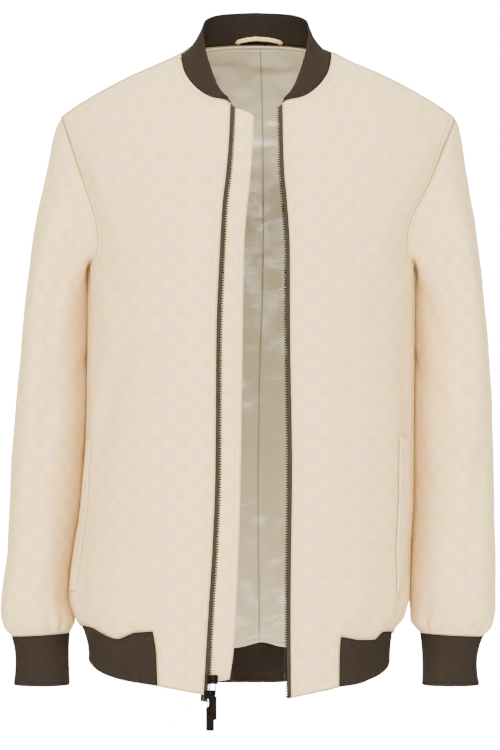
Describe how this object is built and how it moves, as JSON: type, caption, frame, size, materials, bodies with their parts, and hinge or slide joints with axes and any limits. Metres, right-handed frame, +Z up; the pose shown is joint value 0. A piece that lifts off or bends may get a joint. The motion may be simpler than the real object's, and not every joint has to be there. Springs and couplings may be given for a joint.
{
  "type": "bomber jacket filled out with no wearer",
  "caption": "hip-length zip jacket worn open, with ribbed collar, cuffs and hem band, welt pockets, lining, wind guard and a two-way zip with swinging pull tabs",
  "frame": {"origin": "between the high points of the shoulders, where the wearer's neck and shoulders hold the jacket", "axes": "+X the wearer's left, +Y from the front to the back, +Z up"},
  "size_m": [0.568, 0.2748, 0.8203],
  "materials": {
    "wool_cloth": "soft brushed wool, faint tone-on-tone check",
    "rib_knit": "matt fine rib knit",
    "satin_lining": "smooth satin",
    "zip_tape": "woven tape with dark teeth",
    "zip_metal": "dark plated metal, low sheen"
  },
  "bodies": {
    "jacket": {"front_right": "wool_cloth", "front_left": "wool_cloth", "back": "wool_cloth", "sleeve_right": "wool_cloth", "sleeve_left": "wool_cloth", "collar_rib": "rib_knit", "hem_rib": "rib_knit", "cuff_right": "rib_knit", "cuff_left": "rib_knit", "back_lining": "satin_lining", "lining_neck_band": "satin_lining", "hanger_loop": "wool_cloth", "wind_guard": "wool_cloth", "zip_tape_right": "zip_tape", "zip_tape_left": "zip_tape", "zip_slider_upper": "zip_metal", "zip_slider_lower": "zip_metal", "pocket_welt_right": "wool_cloth", "pocket_welt_left": "wool_cloth"},
    "pull_tab_upper": {"pull_tab_upper": "zip_metal"},
    "pull_tab_lower": {"pull_tab_lower": "zip_metal"}
  },
  "joints": [
    {"name": "pull_upper", "type": "hinge", "parent": "jacket", "child": "pull_tab_upper", "pos_m": [-0.04934, -0.13353, -0.71555], "axis": [-1, 0, 0], "range_deg": [0, 120]},
    {"name": "pull_lower", "type": "hinge", "parent": "jacket", "child": "pull_tab_lower", "pos_m": [-0.05231, -0.12892, -0.73255], "axis": [-1, 0, 0], "range_deg": [-15, 4]}
  ]
}
